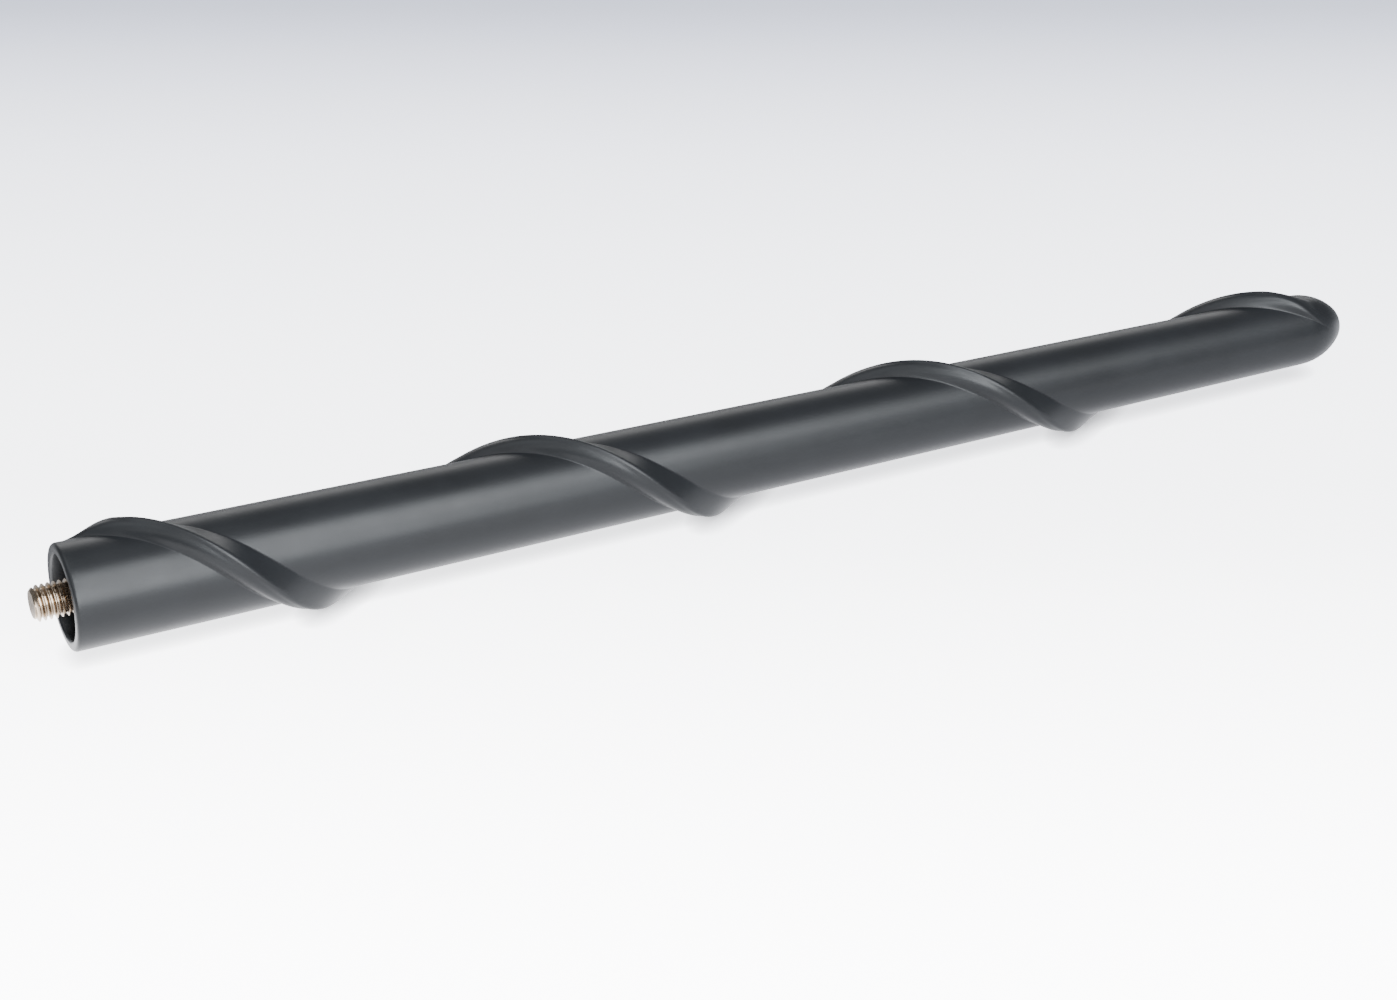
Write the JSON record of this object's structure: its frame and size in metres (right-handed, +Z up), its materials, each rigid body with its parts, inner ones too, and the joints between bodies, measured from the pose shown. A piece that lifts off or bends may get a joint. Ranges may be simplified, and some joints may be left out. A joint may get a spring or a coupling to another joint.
{
  "type": "car antenna rod",
  "caption": "Short tapered antenna rod with a raised spiral rib, a rounded tip and a hollow skirt at the base round a metal screw stud.",
  "frame": {"origin": "on the ground under the middle of the rod as it lies, at the centre of its box", "axes": "+X from the screw end to the tip, +Z up from the ground, so +Y is to the left when looking towards the tip"},
  "size_m": [0.2062, 0.0182, 0.0187],
  "materials": {
    "jacket": "satin moulded",
    "fitting": "bright nickel plate",
    "core": "pultruded glass fibre",
    "wire": "enamelled"
  },
  "bodies": {
    "root": {"jacket": "jacket", "threaded_fitting": "fitting", "core_rod": "core", "antenna_wire": "wire"}
  },
  "joints": []
}
